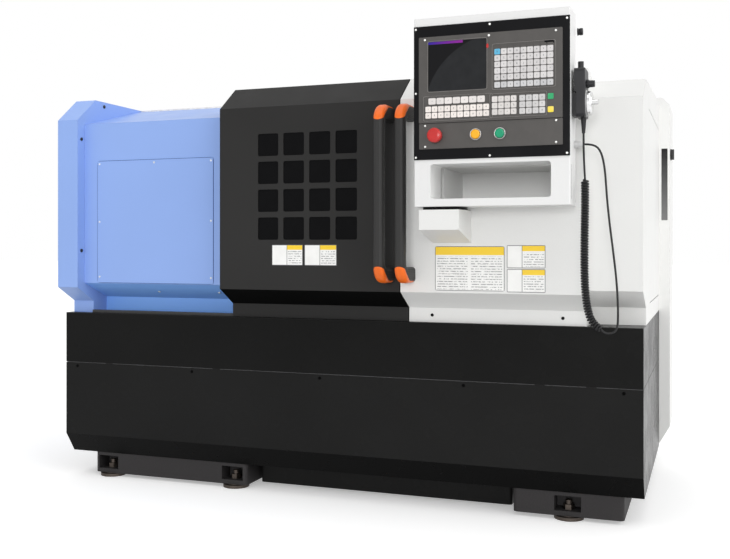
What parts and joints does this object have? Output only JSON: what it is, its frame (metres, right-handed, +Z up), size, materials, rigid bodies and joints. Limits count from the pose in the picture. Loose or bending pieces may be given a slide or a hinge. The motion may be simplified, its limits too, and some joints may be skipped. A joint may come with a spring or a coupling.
{
  "type": "cnc turning lathe",
  "caption": "Flat-bed turning lathe in a sheet-metal enclosure with a sliding front door, a swivelling control console, a rear cabinet and a corded hand pendant.",
  "frame": {"origin": "on the floor, under the middle of the machine's whole length and depth", "axes": "+X from the headstock to the tailstock along the spindle, +Y from the operator to the back, +Z up"},
  "size_m": [2.052, 1.415, 1.497],
  "materials": {
    "cast_base": "satin paint on cast iron",
    "base_paint": "satin black powder coat",
    "bed_iron": "ground and scraped",
    "headstock_paint": "satin",
    "motor_paint": "satin",
    "servo_black": "satin",
    "zinc_steel": "zinc plated",
    "ground_steel": "ground",
    "jaw_steel": "blackened and ground",
    "rail_steel": "ground",
    "pulley_iron": "turned",
    "belt_rubber": "matt",
    "chrome_rim": "polished",
    "blue_paint": "satin powder coat",
    "door_paint": "satin powder coat",
    "white_paint": "satin powder coat",
    "window_pane": "dark tinted, glossy",
    "grip_black": "ribbed",
    "cap_orange": "smooth",
    "switch_black": "smooth",
    "console_black": "gloss",
    "unit_plastic": "fine grain",
    "screen_glass": "glossy",
    "estop_red": "smooth",
    "start_yellow": "smooth",
    "stop_green": "smooth",
    "pendant_plastic": "fine grain",
    "cord_black": "satin"
  },
  "bodies": {
    "frame": {"left_pedestal": "cast_base", "right_pedestal": "cast_base", "levelling_feet": "zinc_steel", "coolant_tank": "base_paint", "lower_apron": "base_paint", "upper_apron": "base_paint", "chip_tray": "base_paint", "bed": "bed_iron", "panel_screws": "zinc_steel", "headstock": "headstock_paint", "drive_belt": "belt_rubber", "main_motor": "motor_paint", "z_servo": "servo_black", "end_cover": "blue_paint", "headstock_cover": "blue_paint", "access_panel": "blue_paint", "main_hood": "white_paint", "hood_handle_grip": "grip_black", "hood_handle_caps": "cap_orange", "right_cover": "white_paint", "roof_panel": "white_paint", "door_rails": "rail_steel", "electrical_cabinet": "white_paint", "console_bracket": "white_paint"},
    "spindle": {"spindle": "ground_steel", "chuck_body": "ground_steel", "spindle_pulley": "pulley_iron"},
    "jaw_1": {"chuck_jaw_1": "jaw_steel"},
    "jaw_2": {"chuck_jaw_2": "jaw_steel"},
    "jaw_3": {"chuck_jaw_3": "jaw_steel"},
    "motor_shaft": {"motor_pulley": "pulley_iron"},
    "carriage": {"saddle": "bed_iron"},
    "cross_slide": {"cross_slide": "bed_iron"},
    "turret": {"turret_head": "jaw_steel"},
    "lead_screw": {"z_screw": "ground_steel"},
    "tailstock": {"tailstock_body": "headstock_paint"},
    "quill": {"tailstock_quill": "ground_steel"},
    "tail_wheel": {"tailstock_handwheel": "chrome_rim"},
    "door": {"sliding_door": "door_paint", "door_window": "window_pane", "door_handle_grip": "grip_black", "door_handle_caps": "cap_orange"},
    "cabinet_door": {"cabinet_door": "white_paint"},
    "main_switch": {"main_switch": "switch_black"},
    "console": {"console_housing": "white_paint", "console_plate": "console_black", "cnc_unit": "unit_plastic", "operator_panel": "unit_plastic", "cnc_screen": "screen_glass", "pendant_body": "pendant_plastic", "pendant_boot": "cord_black", "cord_gland": "cord_black", "cord_tail": "cord_black", "cord_coil": "cord_black", "cord_lead": "cord_black"},
    "estop": {"estop_button": "estop_red"},
    "start": {"start_button": "start_yellow"},
    "stop": {"stop_button": "stop_green"},
    "pendant_wheel": {"pendant_wheel": "chrome_rim"},
    "pendant_knob": {"pendant_knob": "pendant_plastic"}
  },
  "joints": [
    {"name": "spindle_spin", "type": "hinge", "parent": "frame", "child": "spindle", "pos_m": [-0.376, -0.0145, 1.035], "axis": [1, 0, 0], "continuous": true},
    {"name": "motor_spin", "type": "hinge", "parent": "frame", "child": "motor_shaft", "pos_m": [-0.961, 0.2705, 0.74], "axis": [1, 0, 0], "continuous": true},
    {"name": "jaw_1_slide", "type": "slide", "parent": "spindle", "child": "jaw_1", "axis": [0, 0, 1], "range_m": [-0.006, 0.018]},
    {"name": "jaw_2_slide", "type": "slide", "parent": "spindle", "child": "jaw_2", "axis": [0, -0.866, -0.5], "range_m": [-0.006, 0.018]},
    {"name": "jaw_3_slide", "type": "slide", "parent": "spindle", "child": "jaw_3", "axis": [0, 0.866, -0.5], "range_m": [-0.006, 0.018]},
    {"name": "carriage_slide", "type": "slide", "parent": "frame", "child": "carriage", "axis": [1, 0, 0], "range_m": [-0.2, 0.235]},
    {"name": "lead_screw_spin", "type": "hinge", "parent": "frame", "child": "lead_screw", "pos_m": [-0.326, -0.1825, 0.783], "axis": [1, 0, 0], "range_deg": [-12100, 14200]},
    {"name": "cross_slide_travel", "type": "slide", "parent": "carriage", "child": "cross_slide", "axis": [0, 1, 0], "range_m": [-0.06, 0.1]},
    {"name": "turret_index", "type": "hinge", "parent": "cross_slide", "child": "turret", "pos_m": [0.064, -0.1445, 1], "axis": [0, 0, 1], "continuous": true},
    {"name": "tailstock_slide", "type": "slide", "parent": "frame", "child": "tailstock", "axis": [1, 0, 0], "range_m": [-0.06, 0]},
    {"name": "quill_slide", "type": "slide", "parent": "tailstock", "child": "quill", "axis": [1, 0, 0], "range_m": [-0.08, 0]},
    {"name": "tail_wheel_spin", "type": "hinge", "parent": "tailstock", "child": "tail_wheel", "pos_m": [0.764, -0.0145, 1.035], "axis": [1, 0, 0], "range_deg": [-5800, 0]},
    {"name": "door_slide", "type": "slide", "parent": "frame", "child": "door", "axis": [1, 0, 0], "range_m": [-0.545, 0]},
    {"name": "cabinet_door_hinge", "type": "hinge", "parent": "frame", "child": "cabinet_door", "pos_m": [0.245, 0.6925, 0.8], "axis": [0, 0, 1], "range_deg": [0, 110]},
    {"name": "main_switch_turn", "type": "hinge", "parent": "frame", "child": "main_switch", "pos_m": [1.014, 0.4555, 1.17], "axis": [1, 0, 0], "range_deg": [0, 90]},
    {"name": "console_swivel", "type": "hinge", "parent": "frame", "child": "console", "pos_m": [0.426, -0.6025, 0.94], "axis": [0, 0, 1], "range_deg": [-30, 0]},
    {"name": "estop_press", "type": "slide", "parent": "console", "child": "estop", "axis": [0, 1, 0], "range_m": [0, 0.005]},
    {"name": "start_press", "type": "slide", "parent": "console", "child": "start", "axis": [0, 1, 0], "range_m": [0, 0.003], "stiffness_N_per_m": 800},
    {"name": "stop_press", "type": "slide", "parent": "console", "child": "stop", "axis": [0, 1, 0], "range_m": [0, 0.003], "stiffness_N_per_m": 800},
    {"name": "pendant_wheel_spin", "type": "hinge", "parent": "console", "child": "pendant_wheel", "pos_m": [0.834, -0.6095, 1.222], "axis": [1, 0, 0], "continuous": true},
    {"name": "pendant_knob_turn", "type": "hinge", "parent": "console", "child": "pendant_knob", "pos_m": [0.834, -0.6095, 1.276], "axis": [1, 0, 0], "range_deg": [-60, 60]}
  ],
  "couplings": [
    {"joint": "motor_spin", "follows": "spindle_spin", "ratio": 1.371},
    {"joint": "jaw_2_slide", "follows": "jaw_1_slide", "ratio": 1},
    {"joint": "jaw_3_slide", "follows": "jaw_1_slide", "ratio": 1},
    {"joint": "lead_screw_spin", "follows": "carriage_slide", "rad_per_m": 1047.2},
    {"joint": "tail_wheel_spin", "follows": "quill_slide", "rad_per_m": 1256.6}
  ]
}
